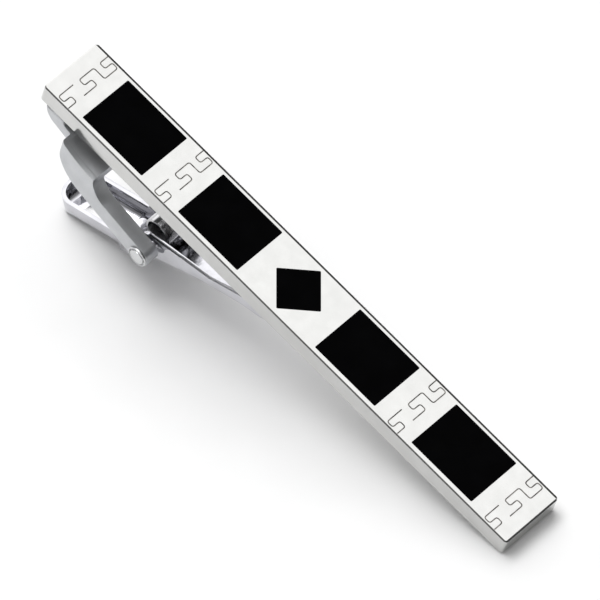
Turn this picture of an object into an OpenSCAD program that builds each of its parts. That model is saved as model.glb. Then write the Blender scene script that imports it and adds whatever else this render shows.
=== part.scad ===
// Tie clip: an enamelled front bar with a sprung alligator clip on its back.
// The origin is the centre of the bar's back face. +X runs along the bar to its free end,
// +Y across it, and +Z out of its front face.

/* [Front bar] */
// Length of the bar
bar_l = 60; // [58:0.5:64]
// Width of the bar
bar_w = 6.9; // [6.7:0.1:8]
// Thickness of the bar
bar_t = 2.4; // [2:0.1:3]
// Corner radius of the bar, seen from the front
bar_corner_r = 0.35; // [0.2:0.05:0.6]
// Bevel along the bar's edges
bar_bevel = 0.15; // [0.05:0.01:0.2]

/* [Enamel inlays] */
// Length of a rectangular inlay along the bar
inlay_l = 7.74; // [7:0.01:8]
// Rim of metal left on each side of an inlay
inlay_rim = 0.5; // [0.4:0.05:0.8]
// Distance from the pattern's centre to an inner inlay's centre
inlay_inner_x = 8.9; // [8.5:0.05:9]
// Distance from an inner inlay's centre to an outer inlay's centre
inlay_pitch = 12.45; // [12.2:0.05:12.6]
// Half the diagonal of the diamond inlay
diamond_r = 2.9; // [2.4:0.1:2.9]
// Depth of the pockets that hold the enamel
pocket_depth = 0.6; // [0.4:0.05:0.8]
// How far the enamel lies below the metal's face
enamel_drop = 0.02; // [0.01:0.01:0.05]
// Offset of the inlays from the bar's centre
inlay_shift_x = -0.2; // [-0.2:0.1:0.2]

/* [Key line] */
// Width of the engraved line
key_line_w = 0.12; // [0.08:0.01:0.15]
// Depth of the engraved line
key_depth = 0.12; // [0.08:0.01:0.2]
// Distance from the key's middle line to each outer line
key_half_w = 0.72; // [0.6:0.02:0.8]
// Height of one hook of the key
key_hook_h = 0.91; // [0.8:0.01:1]
// Distance from one hook to the next across the bar
key_pitch = 2.65; // [2.6:0.01:2.7]
// Radius of the line's corners
key_corner_r = 0.24; // [0.15:0.01:0.28]

/* [Clip bracket] */
// Half the width across the ears' outer faces
ear_outer_y = 4.55; // [4.4:0.05:4.8]
// Thickness of an ear
ear_t = 1.5; // [1.2:0.05:1.55]
// Radius of the ear's eye round the rivet
eye_r = 1.15; // [1:0.05:1.2]
// Thickness of the web that joins the ears
web_t = 1.3; // [1.1:0.05:1.4]

/* [Hinge] */
// Distance of the hinge from the bar's centre
hinge_x = -14.4; // [-14.5:0.05:-14.3]
// Height of the hinge (negative is behind the bar)
hinge_z = -6.85; // [-6.95:0.05:-6.75]
// Radius of the rivet's shank
rivet_r = 0.55; // [0.5:0.01:0.6]
// Radius of the rivet's heads
rivet_head_r = 1.1; // [1:0.02:1.15]
// Height of the rivet's heads
rivet_head_h = 0.4; // [0.3:0.05:0.5]
// Running clearance of the lever on the rivet
rivet_clearance = 0.03; // [0.02:0.01:0.06]

/* [Clip lever] */
// Thickness of the lever's sheet
lever_t = 0.42; // [0.35:0.01:0.45]
// Half the width of the lever's jaw and cheeks
cheek_y = 2.85; // [2.7:0.05:2.9]
// Half the width of the thumb trough
trough_y = 2.3; // [2.2:0.05:2.35]
// Depth of the thumb trough
trough_depth = 2.2; // [2:0.05:2.3]
// Slope of the thumb trough away from the bar
trough_slope = 26.6; // [25:0.1:28]
// Length of the trough's straight part
trough_l = 6.4; // [6:0.1:6.6]
// Radius of the trough's lower edges
trough_edge_r = 1.2; // [1:0.05:1.2]
// Gap between the closed jaw and the bar
jaw_gap = 0.04; // [0.03:0.01:0.08]

/* [Torsion spring] */
// Thickness of the spring's strip
spring_t = 0.25; // [0.2:0.01:0.25]
// Width of the coil, which is two turns of the strip side by side
coil_w = 3.7; // [3.2:0.1:3.8]
// Distance of a leg's outer edge from the clip's middle plane
leg_y = 1.5; // [1.3:0.05:1.5]
// Outer radius of the coil
coil_r = 1.55; // [1.5:0.01:1.56]

/* [Hidden] */
$fn = 64;

arc_steps = 10;
through = 0.5;
inlay_w = bar_w - 2 * inlay_rim;
inlay_corner_r = 0.12;
inlay_outer_x = inlay_inner_x + inlay_pitch;
key_inner_x = inlay_inner_x + inlay_pitch / 2;
key_outer_x = (inlay_outer_x + inlay_l / 2 + bar_l / 2) / 2;
// the key's first hook starts near the far edge, and its last one ends near the near edge
key_top_y = bar_w / 2 - 0.4;
key_start_y = bar_w / 2 - 0.25;
key_end_y = 0.15 - bar_w / 2;
key_gap = 0.76;

hinge = [hinge_x, hinge_z];

// bracket, in the X-Z plane
tab_nose = [-27.3, 0];
tab_nose_r = 1.75;
tab_end_x = -27;
solder_t = 0.06;
web_end_x = -21.35;
web_back_x = -25.75;
web_top = [[tab_end_x, -solder_t], [-26.6, -0.58], [web_back_x, -0.86], [-24.8, -1.35], [-23.2, -1.87],
    [web_end_x, -2.15]];
web_corner_r = 0.5;
ear_back = [-21.5, -1.8];
ear_back_r = 4.35;
ear_throat = [-18.95, -2.25];
ear_throat_r = 2.4;

// lever, in the X-Z plane
cheek_r = 1.3;
jaw_tip_x = 0.6;
jaw_flat_x = -1.9;
jaw_bend = [-7.7, -3.35];
jaw_floor = [[-13.25, -7.95], [-8.3, -4.75], [-3.9, -2.4], [jaw_tip_x, -0.75]];
trough_start = [-18.5, -11.45];
trough_down = [sin(trough_slope), -cos(trough_slope)];
trough_heel = trough_start + trough_depth * trough_down;
// the floor's slopes lie between those of the trough and the heel, so one shift sets its thickness
floor_shift = lever_t * [-sin(40.7), cos(40.7)];
heel_slope = slope(trough_heel, jaw_floor[0]);

// spring, in the X-Z plane
coil = hinge + [-0.35, 0.5];
strip_r = coil_r - spring_t / 2;
leg_t = spring_t - 0.02;
turn_groove = 0.12;
spring_upper_end = [-21.6, web_top[5][1] - web_t - spring_t / 2 - 0.03];
spring_lower_end_x = -23;

// Points of an arc round c, from one angle to another
function arc(c, r, from, to) =
    [for (i = [0:arc_steps]) let (a = from + (to - from) * i / arc_steps) c + r * [cos(a), sin(a)]];

// Direction from point a to point b
function slope(a, b) = atan2(b[1] - a[1], b[0] - a[0]);

// Direction of the line that touches two circles, from the one of radius ra at a to that of rb at b.
// A negative radius takes the line to the circle's other side.
function tangent(a, ra, b, rb) = slope(a, b) + asin((ra - rb) / norm(b - a));

// A point t along the curve that rounds the corner p, between the points a and b
function bend(a, p, b, t) = (1 - t) * (1 - t) * a + 2 * t * (1 - t) * p + t * t * b;

// The corner between three points, cut off at distance r and rounded
function corner(a, p, b, r) =
    let (start = p + r * (a - p) / norm(a - p), end = p + r * (b - p) / norm(b - p))
    [for (i = [0:4]) bend(start, p, end, i / 4)];

// An open path with all its inner corners rounded
function rounded(path, r) = [
    path[0],
    for (i = [1:len(path) - 2]) each corner(path[i - 1], path[i], path[i + 1], r),
    path[len(path) - 1]
];

// The path's points moved sideways by d
function beside(path, d) = [
    for (i = [0:len(path) - 1])
        let (h = slope(path[max(i - 1, 0)], path[min(i + 1, len(path) - 1)]))
        path[i] + d * [-sin(h), cos(h)]
];

function reversed(list) = [for (i = [len(list) - 1:-1:0]) list[i]];

// The outline of a strip of width w along an open path
function strip(path, w) = concat(beside(path, w / 2), reversed(beside(path, -w / 2)));

// Both halves of an outline that is given for +Y and mirrored to -Y
function both_sides(half) = concat(half, reversed([for (p = half) [p[0], -p[1]]]));

// Extrudes an X-Z outline across the clip, from y0 to y1
module across(y0, y1) {
    translate([0, y1, 0])
        rotate([90, 0, 0])
            linear_extrude(y1 - y0)
                children();
}

// Rectangle with rounded corners, centred
module rounded_rect(l, w, r) {
    square([l - 2 * r, w], center = true);
    square([l, w - 2 * r], center = true);
    for (x = [-1, 1], y = [-1, 1])
        translate([x * (l / 2 - r), y * (w / 2 - r)])
            circle(r);
}

// Outline of a bar's section with all four corners bevelled
module bevelled_rect(w, h, b) {
    polygon([
        [b - w / 2, 0], [w / 2 - b, 0], [w / 2, b], [w / 2, h - b],
        [w / 2 - b, h], [b - w / 2, h], [-w / 2, h - b], [-w / 2, b]
    ]);
}

module inlay_outline() {
    rounded_rect(inlay_l, inlay_w, inlay_corner_r);
}

module diamond_outline() {
    rotate(45)
        rounded_rect(diamond_r * sqrt(2), diamond_r * sqrt(2), inlay_corner_r);
}

// Level of a hook's lower end: hook 0 is the farthest one
function hook_low(i) = key_top_y - key_hook_h - i * key_pitch;

// The points of one hook, which comes down the left line and leaves along the right one
function hook(i) = [
    [-key_half_w, hook_low(i)], [0, hook_low(i)],
    [0, hook_low(i) + key_hook_h], [key_half_w, hook_low(i) + key_hook_h]
];

// The level line that joins two hooks
function key_level(i) = hook_low(i) - key_gap;
function key_link(i) = [[key_half_w, key_level(i)], [-key_half_w, key_level(i)]];

key_path = concat(
    [[-key_half_w, key_start_y]], hook(0), key_link(0), hook(1), key_link(1), hook(2),
    [[key_half_w, key_end_y]]
);
key_path_far = concat([[-key_half_w, key_start_y]], hook(0), key_link(0), hook(1), [key_link(1)[0]]);
key_path_near = concat([key_link(1)[1]], hook(2), [[key_half_w, key_end_y]]);

// One engraved line, cut along the given path
module key_line(path) {
    polygon(strip(rounded(path, key_corner_r), key_line_w));
}

module front_bar() {
    color("#f2f2f0")
        difference() {
            intersection() {
                linear_extrude(bar_t)
                    rounded_rect(bar_l, bar_w, bar_corner_r);
                rotate([90, 0, 90])
                    linear_extrude(bar_l, center = true)
                        bevelled_rect(bar_w, bar_t, bar_bevel);
                rotate([90, 0, 0])
                    linear_extrude(bar_w, center = true)
                        bevelled_rect(bar_l, bar_t, bar_bevel);
            }
            translate([inlay_shift_x, 0, bar_t - pocket_depth])
                linear_extrude(pocket_depth + through) {
                    for (x = [-inlay_outer_x, -inlay_inner_x, inlay_inner_x, inlay_outer_x])
                        translate([x, 0])
                            inlay_outline();
                    diamond_outline();
                }
            for (x = [-key_outer_x, -key_inner_x, key_inner_x, key_outer_x])
                translate([x, 0, bar_t - key_depth])
                    linear_extrude(key_depth + through)
                        key_line(key_path);
        }
}

// Enamel that fills a pocket centred at x
module enamel(x) {
    color("#050505")
        translate([inlay_shift_x + x, 0, bar_t - pocket_depth])
            linear_extrude(pocket_depth - enamel_drop)
                children();
}

// Dark filling of the engraved line centred at x. The filling has worn out of its last level line.
module key_fill(x) {
    color("#3a3a3a")
        translate([x, 0, bar_t - key_depth])
            linear_extrude(key_depth - enamel_drop) {
                key_line(key_path_far);
                key_line(key_path_near);
            }
}

// Plan of the bracket: a tab as wide as the bar, which widens to the ears
bracket_plan = both_sides(concat(
    [[tab_nose[0] - tab_nose_r, bar_w / 2], [web_back_x, bar_w / 2]],
    arc([web_back_x + web_corner_r, ear_outer_y - web_corner_r], web_corner_r, 180, 90),
    [[hinge_x + eye_r, ear_outer_y]]
));

// Side of the tab and web, from the rounded nose under the bar's end to the web's end
bracket_side = concat(
    [[tab_nose[0] - tab_nose_r, -solder_t]],
    web_top,
    [for (i = [5, 4, 2]) web_top[i] - [0, web_t + (5 - i) * 0.05]],
    arc(tab_nose, tab_nose_r, 262, 182)
);

ear_low_slope = tangent(ear_back, ear_back_r, hinge, eye_r);
ear_top_slope = tangent(ear_throat, ear_throat_r, hinge, -eye_r);

// Side of an ear: a round back, and an arm that narrows to the eye round the rivet
ear_side = concat(
    [web_top[2]],
    arc(ear_back, ear_back_r, 180, 270 + ear_low_slope),
    arc(hinge, eye_r, ear_low_slope - 90, 90 + ear_top_slope),
    arc(ear_throat, ear_throat_r, 270 + ear_top_slope, 180),
    [for (i = [5, 4, 3]) web_top[i]]
);

module clip_bracket() {
    color("#cdced0")
        difference() {
            intersection() {
                union() {
                    across(-ear_outer_y, ear_outer_y)
                        polygon(bracket_side);
                    for (y = [-ear_outer_y, ear_outer_y - ear_t])
                        across(y, y + ear_t)
                            polygon(ear_side);
                }
                translate([0, 0, hinge_z - 2 * eye_r])
                    linear_extrude(-hinge_z + 2 * eye_r)
                        polygon(bracket_plan);
            }
            across(-ear_outer_y - through, ear_outer_y + through)
                translate(hinge)
                    circle(rivet_r);
        }
}

// Solder between the tab and the bar, with a fillet where the tab leaves the bar
module solder_seam() {
    color("#b9bbbe")
        across(0.05 - bar_w / 2, bar_w / 2 - 0.05)
            polygon([
                [tab_nose[0] - tab_nose_r + 0.05, 0], [tab_nose[0] - tab_nose_r + 0.05, -solder_t],
                web_top[0], web_top[0] + 0.25 * (web_top[1] - web_top[0]), [tab_end_x + 0.25, 0]
            ]);
}

module rivet_head() {
    cylinder(h = rivet_head_h * 0.6, r = rivet_head_r);
    translate([0, 0, rivet_head_h * 0.6])
        cylinder(h = rivet_head_h * 0.4, r1 = rivet_head_r, r2 = rivet_head_r - rivet_head_h * 0.5);
}

module hinge_rivet() {
    color("#dfe0e2")
        translate([hinge_x, 0, hinge_z]) {
            rotate([90, 0, 0])
                cylinder(h = 2 * ear_outer_y, r = rivet_r, center = true);
            for (end = [-1, 1])
                rotate([-90 * end, 0, 0])
                    translate([0, 0, ear_outer_y])
                        rivet_head();
        }
}

jaw_top_slope = tangent(hinge, -cheek_r, jaw_bend, 0);
cheek_back_slope = tangent(trough_start, 0, hinge, -cheek_r);

// Side of the lever's cheeks and jaw, down to the trough's first section
lever_side = concat(
    [[jaw_tip_x, -jaw_gap], [jaw_flat_x, -jaw_gap], jaw_bend],
    arc(hinge, cheek_r, jaw_top_slope + 90, cheek_back_slope + 90),
    [trough_start, trough_heel],
    jaw_floor
);

// The space over the lever's floor
lever_space = concat(
    [
        [trough_start[0] - 1, 1],
        trough_heel + floor_shift - [cos(trough_slope), sin(trough_slope)],
        trough_heel + floor_shift
    ],
    [for (i = [0:2]) jaw_floor[i] + floor_shift],
    [jaw_floor[3] + [-lever_t, lever_t], [jaw_tip_x - lever_t, 1]]
);

// Plan of the lever's cheeks and jaw, moved in by the given amount
function lever_plan(inset) = both_sides([
    [trough_start[0] - 2, trough_y - inset], [trough_heel[0], trough_y - inset],
    [-15.8, cheek_y - inset], [-1.5, cheek_y - inset],
    [0.2, cheek_y - 0.25 - inset], [jaw_tip_x, cheek_y - 0.65 - inset]
]);

// Moves a shape into the trough's frame: x runs down the trough, and z = 0 is the rim's plane
module in_trough() {
    translate([trough_start[0], 0, trough_start[1]])
        rotate([0, -trough_slope, 0])
            rotate([0, 0, 180])
                children();
}

// A trough with a round end and round lower edges, its top at height top above the rim's plane
module trough_form(start, half_w, depth, edge_r, top) {
    end = trough_l + half_w;
    intersection() {
        translate([0, 0, -depth])
            linear_extrude(depth + top) {
                translate([start, -half_w])
                    square([trough_l - start, 2 * half_w]);
                translate([trough_l, 0])
                    circle(half_w);
            }
        rotate([90, 0, 90])
            translate([0, 0, start])
                linear_extrude(end - start)
                    polygon(concat(
                        [[half_w, top], [-half_w, top]],
                        arc([edge_r - half_w, edge_r - depth], edge_r, 180, 270),
                        arc([half_w - edge_r, edge_r - depth], edge_r, 270, 360)
                    ));
        across(-half_w, half_w)
            polygon(concat(
                [[end, top], [start, top], [start, -depth]],
                arc([end - edge_r, edge_r - depth], edge_r, 270, 360)
            ));
    }
}

module clip_lever() {
    color("#e6e7ea")
        difference() {
            union() {
                intersection() {
                    across(-cheek_y, cheek_y)
                        polygon(lever_side);
                    translate([0, 0, -15])
                        linear_extrude(15)
                            polygon(lever_plan(0));
                }
                in_trough()
                    trough_form(-0.1, trough_y, trough_depth, trough_edge_r, 0);
            }
            intersection() {
                across(-cheek_y, cheek_y)
                    polygon(lever_space);
                translate([0, 0, -15])
                    linear_extrude(16)
                        polygon(lever_plan(lever_t));
            }
            in_trough()
                trough_form(-0.2, trough_y - lever_t, trough_depth - lever_t, trough_edge_r - lever_t, 1);
            across(-cheek_y - through, cheek_y + through)
                translate(hinge)
                    circle(rivet_r + rivet_clearance);
            // notches between the jaw's teeth
            for (y = [-1.6:0.8:1.6])
                translate([jaw_tip_x - lever_t - 0.1, y, -jaw_gap])
                    rotate([0, 90, 0])
                        linear_extrude(lever_t + 0.2)
                            rotate(45)
                                square(0.35, center = true);
        }
}

spring_upper_slope = tangent(spring_upper_end, 0, coil, -strip_r);
// how far the strip's middle lies above the lever's floor beside the coil
strip_lift = (coil - jaw_floor[0] - floor_shift) * [-sin(heel_slope), cos(heel_slope)] - strip_r;
// the strip bends over the lever's heel, where lines at that distance from both floors meet
heel_turn = (heel_slope - trough_slope) / 2;
heel_middle = (heel_slope + trough_slope) / 2;
spring_heel = trough_heel + floor_shift
    + strip_lift / cos(heel_turn) * [-sin(heel_middle), cos(heel_middle)];
spring_lower_end = [
    spring_lower_end_x,
    spring_heel[1] + (spring_lower_end_x - spring_heel[0]) * tan(trough_slope)
];

// The upper leg leaves the coil's top and the lower one its bottom
coil_top = coil + strip_r * [-sin(spring_upper_slope), cos(spring_upper_slope)];
coil_bottom = coil + strip_r * [sin(heel_slope), -cos(heel_slope)];
upper_leg_path = [spring_upper_end, coil_top];
lower_leg_path = concat(
    [coil_bottom],
    corner(coil_bottom, spring_heel, spring_lower_end, 1.2),
    [spring_lower_end]
);

// One turn of the strip and its leg, from y0 to y1
module spring_turn(y0, y1, leg_path) {
    across(y0, y1) {
        difference() {
            translate(coil)
                circle(coil_r);
            translate(coil)
                circle(coil_r - spring_t);
        }
        polygon(strip(leg_path, leg_t));
    }
}

// Plan of the spring, whose legs are narrower than its coil
spring_plan = both_sides([
    [spring_lower_end_x - 1, leg_y], [-17, leg_y], [-15.5, coil_w / 2], [coil[0] + 2 * coil_r, coil_w / 2]
]);

module torsion_spring() {
    color("#d9dadc")
        difference() {
            intersection() {
                union() {
                    spring_turn(-coil_w / 2, 0, lower_leg_path);
                    spring_turn(0, coil_w / 2, upper_leg_path);
                }
                translate([0, 0, -17])
                    linear_extrude(17)
                        polygon(spring_plan);
            }
            // groove where the two turns lie side by side
            translate([coil[0], 0, coil[1]])
                rotate([90, 0, 0])
                    rotate_extrude()
                        translate([coil_r, 0])
                            rotate(45)
                                square(turn_groove, center = true);
        }
}

front_bar();
enamel(-inlay_outer_x) inlay_outline();  // enamel_outer_left
enamel(-inlay_inner_x) inlay_outline();  // enamel_inner_left
enamel(0) diamond_outline();  // enamel_diamond
enamel(inlay_inner_x) inlay_outline();  // enamel_inner_right
enamel(inlay_outer_x) inlay_outline();  // enamel_outer_right
key_fill(-key_outer_x);  // key_fill_outer_left
key_fill(-key_inner_x);  // key_fill_inner_left
key_fill(key_inner_x);  // key_fill_inner_right
key_fill(key_outer_x);  // key_fill_outer_right
clip_bracket();
solder_seam();
clip_lever();
hinge_rivet();
torsion_spring();
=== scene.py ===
"""Looks of the tie clip.

Finishes for the CAD nodes, finer copies of the clip's parts, and the floor, light and camera.
"""

import math

import bmesh
import bpy
from mathutils import Matrix, Vector


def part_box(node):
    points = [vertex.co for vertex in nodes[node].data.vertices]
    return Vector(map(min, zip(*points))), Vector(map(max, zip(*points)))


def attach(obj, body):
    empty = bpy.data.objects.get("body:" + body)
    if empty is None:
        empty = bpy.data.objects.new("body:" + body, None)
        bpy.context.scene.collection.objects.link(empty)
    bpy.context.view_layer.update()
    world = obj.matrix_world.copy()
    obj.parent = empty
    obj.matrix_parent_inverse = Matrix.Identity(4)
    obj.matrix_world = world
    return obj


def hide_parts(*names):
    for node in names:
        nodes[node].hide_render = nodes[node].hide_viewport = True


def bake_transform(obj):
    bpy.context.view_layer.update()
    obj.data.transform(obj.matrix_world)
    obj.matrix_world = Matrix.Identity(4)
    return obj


MM = 0.001

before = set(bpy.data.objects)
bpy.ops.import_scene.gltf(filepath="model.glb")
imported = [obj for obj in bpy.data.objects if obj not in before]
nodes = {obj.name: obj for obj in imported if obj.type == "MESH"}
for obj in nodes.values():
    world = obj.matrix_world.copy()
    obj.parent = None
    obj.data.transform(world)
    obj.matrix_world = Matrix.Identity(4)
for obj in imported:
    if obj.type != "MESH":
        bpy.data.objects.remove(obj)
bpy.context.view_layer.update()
scene = bpy.context.scene

# Sizes and places of the CAD part, in millimetres
BAR_L, BAR_W, BAR_H = 60, 6.9, 2.4
BAR_CORNER_R = 0.35
HINGE_X, HINGE_Z = -14.4, -6.85
EAR_OUTER_Y, EAR_T = 4.55, 1.5
EYE_R = 1.15
RIVET_R, RIVET_HEAD_R, RIVET_HEAD_H = 0.55, 1.1, 0.4

# The hinge in metres
HINGE = Vector((HINGE_X, 0, HINGE_Z)) * MM

# Edges bent by less than this many degrees are shaded as one smooth surface, in a new mesh and in one
# that modifiers have cut or eased
SOFT_ANGLE = 35
CUT_SOFT_ANGLE = 40
# Points closer than this, in metres, are the same point
SAME_POINT = 0.0005 * MM

# Brightness of the sky overhead
SKY = 1.52


# ---------------------------------------------------------------- material tools


class Nodes:
    """Short ways to build a material's node tree round one Principled shader."""

    def __init__(self, name):
        self.material = bpy.data.materials.new(name)
        self.material.use_nodes = True
        self.tree = self.material.node_tree
        self.shader = self.tree.nodes["Principled BSDF"]
        self.coords = self.add("ShaderNodeTexCoord").outputs["Object"]

    def add(self, kind):
        """A new node of the tree."""
        return self.tree.nodes.new(kind)

    def link(self, source, target):
        self.tree.links.new(source, target)

    def noise(self, size, detail=3.0, stretch=(1, 1, 1)):
        """Noise whose features are about `size` metres long."""
        place = self.add("ShaderNodeMapping")
        place.inputs["Scale"].default_value = stretch
        self.link(self.coords, place.inputs["Vector"])
        texture = self.add("ShaderNodeTexNoise")
        texture.inputs["Scale"].default_value = 1 / size
        texture.inputs["Detail"].default_value = detail
        self.link(place.outputs["Vector"], texture.inputs["Vector"])
        return texture.outputs["Fac"]

    def spread(self, source, low, high, start=0.3, end=0.7):
        """Maps a noise from start..end to low..high."""
        mapping = self.add("ShaderNodeMapRange")
        mapping.inputs["From Min"].default_value = start
        mapping.inputs["From Max"].default_value = end
        mapping.inputs["To Min"].default_value = low
        mapping.inputs["To Max"].default_value = high
        self.link(source, mapping.inputs["Value"])
        return mapping.outputs["Result"]

    def colours(self, source, low, high):
        """Colour that goes from low to high with the source."""
        ramp = self.add("ShaderNodeValToRGB")
        ramp.color_ramp.elements[0].position = 0.3
        ramp.color_ramp.elements[0].color = (*low, 1)
        ramp.color_ramp.elements[1].position = 0.7
        ramp.color_ramp.elements[1].color = (*high, 1)
        self.link(source, ramp.inputs["Fac"])
        self.link(ramp.outputs["Color"], self.shader.inputs["Base Color"])

    def roughness(self, source, low, high):
        """Roughness that goes from low to high with the source."""
        self.link(self.spread(source, low, high), self.shader.inputs["Roughness"])

    def bump(self, *reliefs):
        """Adds the reliefs one over the other: each is a source and its height in metres."""
        normal = None
        for source, height in reliefs:
            bump = self.add("ShaderNodeBump")
            bump.inputs["Strength"].default_value = 1.0
            bump.inputs["Distance"].default_value = height
            self.link(source, bump.inputs["Height"])
            if normal:
                self.link(normal, bump.inputs["Normal"])
            normal = bump.outputs["Normal"]
        self.link(normal, self.shader.inputs["Normal"])

    def set(self, **values):
        """Sets inputs of the shader by name, with _ for a space."""
        for key, value in values.items():
            self.shader.inputs[key.replace("_", " ")].default_value = value


def plated_metal(name, dark, light, rough, grain, relief, stretch=(1, 1, 1), wave=0.0001 * MM):
    """Plated metal: clouds from dark to light, a fine grain of the given relief, and long waves."""
    look = Nodes(name)
    look.set(Metallic=1.0)
    cloud = look.noise(1.4 * MM, 4)
    fine = look.noise(grain, 3, stretch)
    look.colours(cloud, dark, light)
    look.roughness(fine, *rough)
    look.bump((look.noise(0.9 * MM, 1), wave), (fine, relief))
    return look.material


def metals():
    """The plated finishes by slot."""
    recipes = {
        "polished_plate": {
            "dark": (0.57, 0.57, 0.56),
            "light": (0.61, 0.61, 0.60),
            "rough": (0.08, 0.15),
            "grain": 0.12 * MM,
            "relief": 0.00006 * MM,
            "stretch": (0.15, 1, 1),
        },
        "satin_casting": {
            "dark": (0.52, 0.53, 0.545),
            "light": (0.58, 0.59, 0.605),
            "rough": (0.36, 0.48),
            "grain": 0.09 * MM,
            "relief": 0.0012 * MM,
        },
        "solder": {
            "dark": (0.42, 0.43, 0.44),
            "light": (0.54, 0.55, 0.56),
            "rough": (0.3, 0.45),
            "grain": 0.25 * MM,
            "relief": 0.01 * MM,
        },
        "bright_plate": {
            "dark": (0.52, 0.52, 0.55),
            "light": (0.60, 0.60, 0.63),
            "rough": (0.04, 0.10),
            "grain": 0.2 * MM,
            "relief": 0.0003 * MM,
            "wave": 0.02 * MM,
        },
        "rivet_plate": {
            "dark": (0.58, 0.585, 0.59),
            "light": (0.66, 0.665, 0.67),
            "rough": (0.14, 0.24),
            "grain": 0.1 * MM,
            "relief": 0.0008 * MM,
        },
        "spring_steel": {
            "dark": (0.56, 0.56, 0.57),
            "light": (0.65, 0.65, 0.66),
            "rough": (0.14, 0.26),
            "grain": 0.12 * MM,
            "relief": 0.0006 * MM,
            "stretch": (0.2, 1, 0.2),
            "wave": 0.01 * MM,
        },
    }
    return {slot: plated_metal(slot, **recipe) for slot, recipe in recipes.items()}


def black_enamel():
    """Glossy black enamel with a slight flow."""
    look = Nodes("black_enamel")
    look.set(Specular_IOR_Level=0.01, IOR=1.5)
    look.colours(look.noise(2 * MM, 2), (0.0004, 0.0004, 0.0005), (0.001, 0.001, 0.0012))
    flow = look.noise(0.9 * MM, 2)
    look.roughness(flow, 0.14, 0.24)
    look.bump((flow, 0.0005 * MM))
    return look.material


def key_paint():
    """Dark paint, worn at places, in the engraved line."""
    look = Nodes("key_fill")
    look.set(Specular_IOR_Level=0.3)
    grain = look.noise(0.12 * MM, 4)
    wear = look.noise(0.5 * MM, 2)
    look.colours(wear, (0.022, 0.02, 0.018), (0.27, 0.255, 0.235))
    look.roughness(grain, 0.45, 0.7)
    look.bump((grain, 0.004 * MM))
    return look.material


# ---------------------------------------------------------------- shape tools


def placed(name, data):
    """A new object in the scene."""
    piece = bpy.data.objects.new(name, data)
    scene.collection.objects.link(piece)
    return piece


def finished(piece, material, body, replaced):
    """Gives a new piece its material and its body if it has one, and hides the CAD node it stands for."""
    piece.data.materials.clear()
    piece.data.materials.append(material)
    if body:
        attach(piece, body)
    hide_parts(replaced)


def smooth(piece, angle, flat_axes=False):
    """Shades smoothly but for edges sharper than the angle and, if asked, faces square to an axis."""
    mesh = piece.data
    if "custom_normal" in mesh.attributes:
        mesh.attributes.remove(mesh.attributes["custom_normal"])
    mesh.polygons.foreach_set("use_smooth", [True] * len(mesh.polygons))
    mesh.set_sharp_from_angle(angle=math.radians(angle))
    if flat_axes:
        for face in mesh.polygons:
            if max(abs(c) for c in face.normal) > 0.9999:
                face.use_smooth = False


def eased_copy(node, name, radius):
    """A copy of a CAD node with its corners rounded to the given radius."""
    coplanar, corner = math.radians(1.5), math.radians(28)
    mesh = bpy.data.meshes.new(name)
    work = bmesh.new()
    work.from_mesh(nodes[node].data)
    bmesh.ops.remove_doubles(work, verts=work.verts, dist=SAME_POINT)
    bmesh.ops.dissolve_limit(
        work, angle_limit=coplanar, verts=work.verts, edges=work.edges, use_dissolve_boundaries=False
    )
    work.to_mesh(mesh)
    work.free()
    piece = placed(name, mesh)
    bevel = piece.modifiers.new("eased", "BEVEL")
    bevel.width = radius
    bevel.segments = 2
    bevel.limit_method = "ANGLE"
    bevel.angle_limit = corner
    bevel.use_clamp_overlap = True
    bevel.miter_outer = "MITER_ARC"
    apply_modifiers(piece)
    smooth(piece, CUT_SOFT_ANGLE)
    return piece


def apply_modifiers(piece):
    """Swaps the piece's mesh for the one that its modifiers make."""
    bpy.context.view_layer.update()
    shown = piece.evaluated_get(bpy.context.evaluated_depsgraph_get())
    mesh = bpy.data.meshes.new_from_object(shown)
    piece.modifiers.clear()
    old = piece.data
    piece.data = mesh
    bpy.data.meshes.remove(old)
    mesh.name = piece.name


def arc(centre, radius, start, end, steps=24):
    """Points of an arc, from one angle to another in degrees."""
    angles = [math.radians(start + (end - start) * i / steps) for i in range(steps + 1)]
    return [(centre[0] + radius * math.cos(a), centre[1] + radius * math.sin(a)) for a in angles]


def tangent(a, a_radius, b, b_radius):
    """Direction in degrees of the line that touches two circles; a negative radius picks the other side."""
    slope = math.atan2(b[1] - a[1], b[0] - a[0])
    return math.degrees(slope + math.asin((a_radius - b_radius) / math.dist(a, b)))


def inward(outline):
    """Unit directions into an anticlockwise outline at each of its points."""
    found = []
    for i, point in enumerate(outline):
        before = Vector(point) - Vector(outline[i - 1])
        after = Vector(outline[(i + 1) % len(outline)]) - Vector(point)
        along = before.normalized() + after.normalized()
        found.append(Vector((-along.y, along.x)).normalized())
    return found


def rounding(radius, turn):
    """How far in and how deep a rounded edge is at a turn, from 0 on the face to 90 degrees on the side."""
    turn = math.radians(turn)
    return radius * (1 - math.sin(turn)), radius * (1 - math.cos(turn))


def skin(work, rings):
    """Joins rings of points (mm), each to the next, and closes the first and the last."""
    rings = [[work.verts.new(Vector(point) * MM) for point in ring] for ring in rings]
    for lower, upper in zip(rings, rings[1:]):
        for i in range(len(lower)):
            work.faces.new((lower[i - 1], lower[i], upper[i], upper[i - 1]))
    for ring in (rings[0], rings[-1]):
        work.faces.new(ring)


def slab(work, outline, y0, y1, ease):
    """Adds a plate with the X-Z outline (mm, anticlockwise) from y0 to y1, its edges rounded by ease."""
    steps = 5
    into = inward(outline)
    rings = []
    for side, y in ((-1, y0), (1, y1)):
        turns = [90 * i / steps for i in range(steps + 1)]
        for turn in turns if side < 0 else reversed(turns):
            inset, depth = rounding(ease, turn)
            places = [Vector(point) + inset * way for point, way in zip(outline, into)]
            rings.append([Vector((place.x, y - side * depth, place.y)) for place in places])
    skin(work, rings)


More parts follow.
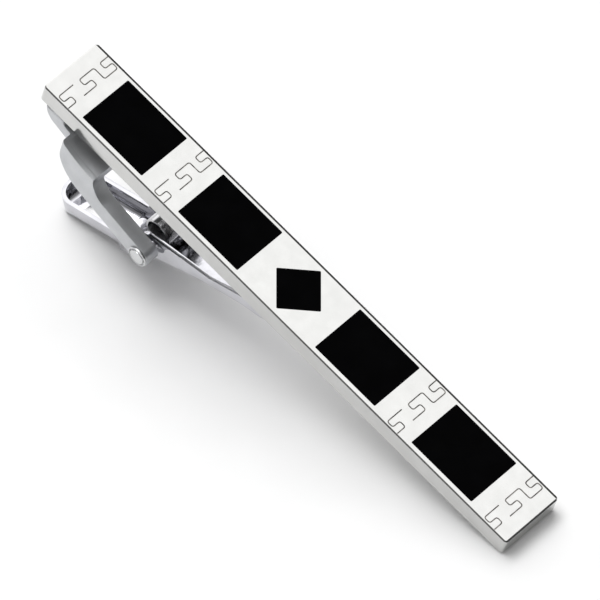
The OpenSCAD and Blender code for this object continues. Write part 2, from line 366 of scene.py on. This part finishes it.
def from_bmesh(work, name, flat_axes=False):
    """Turns the finished bmesh into a smoothly shaded object."""
    bmesh.ops.recalc_face_normals(work, faces=work.faces)
    mesh = bpy.data.meshes.new(name)
    work.to_mesh(mesh)
    work.free()
    piece = placed(name, mesh)
    smooth(piece, SOFT_ANGLE, flat_axes)
    return piece


def lathe(name, profile, centre):
    """A round piece about the line through centre along Y. The profile is (y, radius) from end to end."""
    steps = 64
    turns = [math.radians(360 * i / steps) for i in range(steps)]
    work = bmesh.new()
    middle = centre / MM
    rings = [
        [middle + Vector((radius * math.cos(a), y, radius * math.sin(a))) for a in turns]
        for y, radius in profile
    ]
    skin(work, rings)
    return from_bmesh(work, name)


# ---------------------------------------------------------------- pieces


def pocket_cutter():
    """The inlays and key lines in one mesh, raised above the bar's face to cut their pockets."""
    work = bmesh.new()
    for name in nodes:
        if name.startswith(("enamel", "key_fill")):
            low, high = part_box(name)
            first = len(work.verts)
            work.from_mesh(nodes[name].data)
            work.verts.ensure_lookup_table()
            for vert in work.verts[first:]:
                if vert.co.z > (low.z + high.z) / 2:
                    vert.co.z = high.z + 0.5 * MM
    bmesh.ops.remove_doubles(work, verts=work.verts, dist=SAME_POINT)
    return from_bmesh(work, "pocket_cutter")


def bar_ring(level, inset, end_inset, far_inset):
    """The bar's outline at a level, drawn in all round and then further at the ends and the far side."""
    ring = []
    for x_side, y_side, start in ((1, -1, -90), (1, 1, 0), (-1, 1, 90), (-1, -1, 180)):
        centre = (x_side * (BAR_L / 2 - BAR_CORNER_R), y_side * (BAR_W / 2 - BAR_CORNER_R))
        ring += arc(centre, BAR_CORNER_R - inset, start, start + 90, 8)
    end, far = BAR_L / 2 - end_inset, BAR_W / 2 - far_inset
    return [(max(-end, min(x, end)), min(y, far), level) for x, y in ring]


def polished_bar():
    """A bar with rounded corners and lower rim, a bevelled upper rim, and the CAD parts' pockets."""
    ease, bevel, end_bevel, far_bevel = 0.13, 0.12, 0.16, 0.25
    levels = [(BAR_H - bevel * (1 - t), bevel * t, end_bevel * t, far_bevel * t) for t in (0, 0.5, 1)]
    for turn in range(0, 91, 15):
        inset, depth = rounding(ease, turn)
        levels.append((depth, inset, inset, inset))
    work = bmesh.new()
    skin(work, [bar_ring(*level) for level in sorted(levels)])
    bar = from_bmesh(work, "polished_bar")
    cutter = pocket_cutter()
    cut = bar.modifiers.new("pockets", "BOOLEAN")
    cut.operation = "DIFFERENCE"
    cut.solver = "EXACT"
    cut.object = cutter
    apply_modifiers(bar)
    bpy.data.objects.remove(cutter)
    smooth(bar, CUT_SOFT_ANGLE, flat_axes=True)
    return bar


def rivet_profile():
    """From one head's middle to the other's: a low dome, a fine groove, a lip, the shank, and back."""
    edge, reach = 0.6, 0.72
    dome = [(1 - (1 - edge) * t**2.4, reach * t) for t in (0.02, 0.25, 0.5, 0.65, 0.8, 0.9, 1)]
    groove = [(0.1, 0.76), (0.1, 0.83)]
    lip = [(0.46, 0.88), (0.5, 0.92), (0.42, 0.98), (0.2, 1), (0.06, 0.96), (0, 0.9)]
    head = [(y * RIVET_HEAD_H, r * RIVET_HEAD_R) for y, r in dome + groove + lip]
    half = [(EAR_OUTER_Y + y, r) for y, r in head + [(0, RIVET_R)]]
    return half + [(-y, r) for y, r in reversed(half)]


def through_points(points, steps=6):
    """A smooth curve through the given points."""
    ends = [points[0], *points, points[-1]]
    curve = []
    for a, b, c, d in zip(ends, ends[1:], ends[2:], ends[3:]):
        a, b, c, d = (Vector(p) for p in (a, b, c, d))
        for i in range(steps):
            t = i / steps
            pull = (c - a) * 0.5 * t * (1 - t) ** 2 - (d - b) * 0.5 * t * t * (1 - t)
            curve.append(tuple(b + (c - b) * (3 * t * t - 2 * t**3) + pull))
    return curve + [tuple(points[-1])]


def round_back_corners(work):
    """Turns the ears' back corners inward along an arc, as seen from above."""
    corner, radius = Vector((-25.35, 4.05)), 0.5
    # cuts across the ears, at these distances behind the arc's centre, let them follow the arc
    for step in (0, 0.12, 0.24, 0.34, 0.42, 0.47):
        cut = Vector((corner.x - step, 0, 0)) * MM
        everything = work.verts[:] + work.edges[:] + work.faces[:]
        bmesh.ops.bisect_plane(work, geom=everything, plane_co=cut, plane_no=(1, 0, 0))
    for vert in work.verts:
        back = corner.x - vert.co.x / MM
        if back > 0:
            limit = (corner.y + math.sqrt(max(0, radius**2 - back**2))) * MM
            if abs(vert.co.y) > limit:
                vert.co.y = math.copysign(limit, vert.co.y)


# The bracket's outlines in the X-Z plane, in millimetres, as in the CAD part
EAR_BACK, EAR_BACK_R = (-21.5, -1.8), 4.35
THROAT, THROAT_R = (-18.95, -2.25), 2.4
NOSE, NOSE_R = (-27.3, 0), 1.75
WEB_T = 1.3
WEB_TOP = [(-27, -0.06), (-26.6, -0.58), (-25.75, -0.86), (-24.8, -1.35), (-23.2, -1.87), (-21.35, -2.15)]
# The underside lies this much lower than the web's thickness at three of the points above
WEB_DROPS = ((WEB_TOP[2], 0.15), (WEB_TOP[4], 0.05), (WEB_TOP[5], 0))
WEB_UNDER = [(x, z - WEB_T - drop) for (x, z), drop in WEB_DROPS]


def ear_outline(crest):
    """A round back, an arm that narrows to the eye round the rivet, and a crest just below the web's top."""
    hinge = (HINGE_X, HINGE_Z)
    low = tangent(EAR_BACK, EAR_BACK_R, hinge, EYE_R)
    top = tangent(THROAT, THROAT_R, hinge, -EYE_R)
    return (
        arc(EAR_BACK, EAR_BACK_R, 180, 270 + low, 40)
        + arc(hinge, EYE_R, low - 90, 90 + top)
        + arc(THROAT, THROAT_R, 270 + top, 180)[:-1]
        + [(x, z - 0.01) for x, z in reversed(crest)]
    )


def web_outline(crest, under):
    """The web between the ears, with an upright back."""
    back = -25.83
    return [(back, -1.3), (back, -2.2)] + under[1:] + list(reversed(crest))


def tab_outline(under):
    """The tab that is soldered to the bar, with its round nose, and the start of the web."""
    top = through_points(WEB_TOP[:3] + [(-25.3, -1.12)])
    end = (NOSE[0] - NOSE_R, WEB_TOP[0][1])
    return [end] + arc(NOSE, NOSE_R, 182, 262) + under[:4] + list(reversed(top))


def cast_bracket():
    """Tab, web and the two ears that carry the rivet."""
    crest = through_points(WEB_TOP[2:])
    under = through_points(WEB_UNDER)
    ease, web_ease, web_half = 0.08, 0.01, 4
    work = bmesh.new()
    slab(work, tab_outline(under), -BAR_W / 2, BAR_W / 2, ease)
    slab(work, web_outline(crest, under), -web_half, web_half, web_ease)
    for y in (-EAR_OUTER_Y, EAR_OUTER_Y - EAR_T):
        slab(work, ear_outline(crest), y, y + EAR_T, ease)
    round_back_corners(work)
    return from_bmesh(work, "cast_bracket", flat_axes=True)


def make_pieces():
    """Gives the CAD nodes their looks and makes the finer pieces that replace some of them."""
    metal = metals()
    plate = metal["polished_plate"]
    looks = {
        "front_bar": plate,
        "enamel": black_enamel(),
        "key_fill": key_paint(),
        "solder": metal["solder"],
    }
    for name, node in nodes.items():
        for start, look in looks.items():
            if name.startswith(start):
                node.data.materials.clear()
                node.data.materials.append(look)

    finished(polished_bar(), plate, "clip_frame", "front_bar")
    finished(cast_bracket(), metal["satin_casting"], "clip_frame", "clip_bracket")
    lever = eased_copy("clip_lever", "pressed_lever", 0.07 * MM)
    finished(lever, metal["bright_plate"], "lever", "clip_lever")
    rivet = lathe("domed_rivet", rivet_profile(), HINGE)
    finished(rivet, metal["rivet_plate"], "clip_frame", "hinge_rivet")
    spring = eased_copy("torsion_spring", "coiled_spring", 0.04 * MM)
    finished(spring, metal["spring_steel"], None, "torsion_spring")
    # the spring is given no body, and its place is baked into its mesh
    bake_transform(spring)


# ---------------------------------------------------------------- floor, light and camera


def floor_lean():
    """The bar's free end and the thumb trough rest on the floor: its slope, and where the bar touches it."""
    bar_edge = max(v.co.x for v in nodes["front_bar"].data.vertices if v.co.z < 0.01 * MM)
    lean = max(math.atan2(-v.co.z, bar_edge - v.co.x) for v in nodes["clip_lever"].data.vertices)
    return lean, Vector((bar_edge, 0, 0))


def make_floor():
    """A square of pale paper under the clip."""
    half = 90 * MM
    lean, touch = floor_lean()
    turn = Matrix.Rotation(-lean, 4, "Y")
    mesh = bpy.data.meshes.new("floor")
    work = bmesh.new()
    bmesh.ops.create_grid(work, x_segments=8, y_segments=8, size=half)
    work.to_mesh(mesh)
    work.free()
    floor = placed("floor", mesh)
    floor.matrix_world = Matrix.Translation(touch) @ turn @ Matrix.Translation((-half / 2, 0, 0))
    look = Nodes("floor_paper")
    look.colours(look.noise(8 * MM, 2), (0.885, 0.885, 0.885), (0.905, 0.905, 0.905))
    look.roughness(look.noise(0.5 * MM, 2), 0.75, 0.9)
    floor.data.materials.append(look.material)


def make_world():
    """A pale studio, bright overhead and to the left, with darker patches low down on the other sides."""
    world = bpy.data.worlds.new("studio")
    scene.world = world
    world.use_nodes = True
    tree = world.node_tree
    coords = tree.nodes.new("ShaderNodeTexCoord").outputs["Generated"]

    def level_by_direction(direction, stops):
        """Brightness by how far a direction agrees with the given one, from -1 to 1."""
        agree = tree.nodes.new("ShaderNodeVectorMath")
        agree.operation = "DOT_PRODUCT"
        agree.inputs[1].default_value = Vector(direction).normalized()
        tree.links.new(coords, agree.inputs[0])
        lift = tree.nodes.new("ShaderNodeMapRange")
        lift.inputs["From Min"].default_value = -1
        tree.links.new(agree.outputs["Value"], lift.inputs["Value"])
        ramp = tree.nodes.new("ShaderNodeValToRGB")
        tree.links.new(lift.outputs["Result"], ramp.inputs["Fac"])
        elements = ramp.color_ramp.elements
        for element, (agreement, level) in zip(elements, (stops[0], stops[-1])):
            element.position = (agreement + 1) / 2
            element.color = (level, level, level, 1)
        for agreement, level in stops[1:-1]:
            elements.new((agreement + 1) / 2).color = (level, level, level, 1)
        return ramp.outputs["Color"]

    def combined(a, b, operation):
        node = tree.nodes.new("ShaderNodeVectorMath")
        node.operation = operation
        tree.links.new(a, node.inputs[0])
        tree.links.new(b, node.inputs[1])
        return node.outputs["Vector"]

    height = ((-1, 0.95), (-0.06, 0.9), (0.06, 0.5), (0.4, 0.5), (0.62, 0.85), (0.76, SKY), (1, SKY))
    light = level_by_direction((0, 0, 1), height)
    patches = (
        ("ADD", (-0.83, 0.38, 0.41), ((-1, 0), (0.8, 0), (0.93, 1.1), (1, 1.3))),
        ("MULTIPLY", (-0.2, 0.9, 0.36), ((-1, 1), (0.87, 1), (0.95, 0.2), (1, 0.16))),
        ("MULTIPLY", (-0.2, -0.88, 0.42), ((-1, 1), (0.85, 1), (0.95, 0.4), (1, 0.35))),
        ("MULTIPLY", (0.9, -0.1, 0.4), ((-1, 1), (0.2, 1), (0.6, 0.2), (1, 0.15))),
    )
    for operation, direction, stops in patches:
        light = combined(light, level_by_direction(direction, stops), operation)
    tree.links.new(light, tree.nodes["Background"].inputs["Color"])


def make_light(name, place, size, power):
    """A round lamp that faces the clip."""
    light = bpy.data.lights.new(name, "AREA")
    light.shape = "DISK"
    light.size = size
    light.energy = power
    lamp = placed(name, light)
    lamp.location = place
    lamp.rotation_euler = (-Vector(place)).to_track_quat("-Z", "Y").to_euler()


def make_camera():
    """A long lens from in front of the bar's near edge, above it and turned about its own axis."""
    azimuth, elevation, roll = (math.radians(a) for a in (25.98, 62.07, 21.35))
    distance = 1084.2 * MM
    aim = Vector((0.54, -0.49, 2.08)) * MM
    side = Vector((math.cos(azimuth), math.sin(azimuth), 0))
    level = Vector((math.sin(azimuth), -math.cos(azimuth), 0))
    back = math.cos(elevation) * level + Vector((0, 0, math.sin(elevation)))
    rise = back.cross(side)
    right = math.cos(roll) * side + math.sin(roll) * rise
    up = math.cos(roll) * rise - math.sin(roll) * side
    data = bpy.data.cameras.new("camera")
    data.lens = 720
    data.sensor_width = 36
    data.clip_start = 0.05
    data.clip_end = 20
    camera = placed("camera", data)
    turn = Matrix((right, up, back)).transposed().to_4x4()
    camera.matrix_world = Matrix.Translation(aim + distance * back) @ turn
    scene.camera = camera


make_pieces()
make_floor()
make_world()
make_light("key_light", (-0.42, -0.05, 0.68), 0.46, 2.05)
make_camera()
scene.view_settings.view_transform = "Standard"
